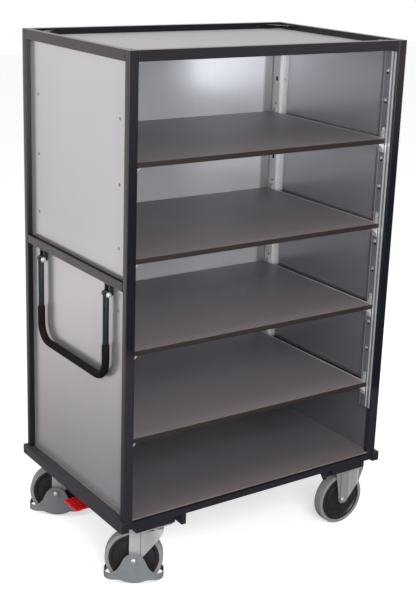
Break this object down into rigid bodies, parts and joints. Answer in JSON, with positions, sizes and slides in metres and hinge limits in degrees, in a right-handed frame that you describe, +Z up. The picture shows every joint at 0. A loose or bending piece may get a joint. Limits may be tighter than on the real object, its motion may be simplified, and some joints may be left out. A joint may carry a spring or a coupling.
{
  "type": "shelf trolley",
  "caption": "Closed-sided shelf trolley: slotted standards with hook-in boards, top tray, drop-down push handle, swivel and fixed casters with ring guards, foot brake.",
  "frame": {"origin": "on the floor, under the middle of the frame", "axes": "+Z up, open front faces -Y, push handle at -X"},
  "size_m": [1.1068, 0.7212, 1.781],
  "materials": {
    "frame_paint": "satin anthracite powder coat",
    "sheet": "galvanised sheet, semi-gloss",
    "board": "film-faced board, matt dark grey, sealed dark edges",
    "zinc": "bright zinc plated",
    "guard_steel": "satin blue-grey",
    "tyre": "matt grey rubber with fine tread lines",
    "hub": "matt black",
    "handle_steel": "semi-gloss black",
    "grip": "matt black sleeve",
    "pedal_red": "red, ribbed"
  },
  "bodies": {
    "frame": {"back_panel": "sheet", "caster_channel_left": "frame_paint", "caster_channel_right": "frame_paint", "cross_member_left": "frame_paint", "cross_member_right": "frame_paint", "crossbar": "frame_paint", "deck_board": "board", "end_member_left": "frame_paint", "end_member_right": "frame_paint", "fixed_front_axle": "zinc", "fixed_front_fork": "zinc", "fixed_rear_axle": "zinc", "fixed_rear_fork": "zinc", "handle_bolt_front": "zinc", "handle_bolt_rear": "zinc", "handle_bracket_front": "frame_paint", "handle_bracket_rear": "frame_paint", "post_front_left": "frame_paint", "post_front_right": "frame_paint", "post_rear_left": "frame_paint", "post_rear_right": "frame_paint", "shelf_1": "board", "shelf_2": "board", "shelf_3": "board", "shelf_4": "board", "side_panel_left": "sheet", "side_panel_right": "sheet", "sill_front": "frame_paint", "sill_rear": "frame_paint", "standard_front_left": "zinc", "standard_front_right": "zinc", "standard_rear_left": "zinc", "standard_rear_right": "zinc", "swivel_front_plate": "zinc", "swivel_rear_plate": "zinc", "top_panel": "sheet", "top_rail_front": "frame_paint", "top_rail_left": "frame_paint", "top_rail_rear": "frame_paint", "top_rail_right": "frame_paint"},
    "handle": {"handle_tube": "handle_steel", "handle_grip": "grip"},
    "swivel_front": {"swivel_front_fork": "zinc", "swivel_front_guard": "guard_steel", "swivel_front_axle": "zinc"},
    "swivel_rear": {"swivel_rear_fork": "zinc", "swivel_rear_guard": "guard_steel", "swivel_rear_axle": "zinc"},
    "wheel_front_left": {"swivel_front_hub": "hub", "swivel_front_tyre": "tyre"},
    "wheel_rear_left": {"swivel_rear_hub": "hub", "swivel_rear_tyre": "tyre"},
    "wheel_front_right": {"fixed_front_hub": "hub", "fixed_front_tyre": "tyre"},
    "wheel_rear_right": {"fixed_rear_hub": "hub", "fixed_rear_tyre": "tyre"},
    "brake": {"brake_pedal": "pedal_red", "brake_shaft": "zinc"}
  },
  "joints": [
    {"name": "handle_fold", "type": "hinge", "parent": "frame", "child": "handle", "pos_m": [-0.54, 0, 1.0175], "axis": [0, 1, 0], "range_deg": [0, 90]},
    {"name": "swivel_front_turn", "type": "hinge", "parent": "frame", "child": "swivel_front", "pos_m": [-0.416, -0.302, 0.2114], "axis": [0, 0, 1], "continuous": true},
    {"name": "swivel_rear_turn", "type": "hinge", "parent": "frame", "child": "swivel_rear", "pos_m": [-0.416, 0.258, 0.2114], "axis": [0, 0, 1], "continuous": true},
    {"name": "wheel_front_left_spin", "type": "hinge", "parent": "swivel_front", "child": "wheel_front_left", "pos_m": [-0.45458, -0.27695, 0.098], "axis": [0.5446, 0.8387, 0], "continuous": true},
    {"name": "wheel_rear_left_spin", "type": "hinge", "parent": "swivel_rear", "child": "wheel_rear_left", "pos_m": [-0.45458, 0.28305, 0.098], "axis": [0.5446, 0.8387, 0], "continuous": true},
    {"name": "wheel_front_right_spin", "type": "hinge", "parent": "frame", "child": "wheel_front_right", "pos_m": [0.416, -0.302, 0.098], "axis": [0, 1, 0], "continuous": true},
    {"name": "wheel_rear_right_spin", "type": "hinge", "parent": "frame", "child": "wheel_rear_right", "pos_m": [0.416, 0.258, 0.098], "axis": [0, 1, 0], "continuous": true},
    {"name": "brake_press", "type": "hinge", "parent": "frame", "child": "brake", "pos_m": [-0.46, 0, 0.205], "axis": [0, -1, 0], "range_deg": [0, 15]}
  ]
}
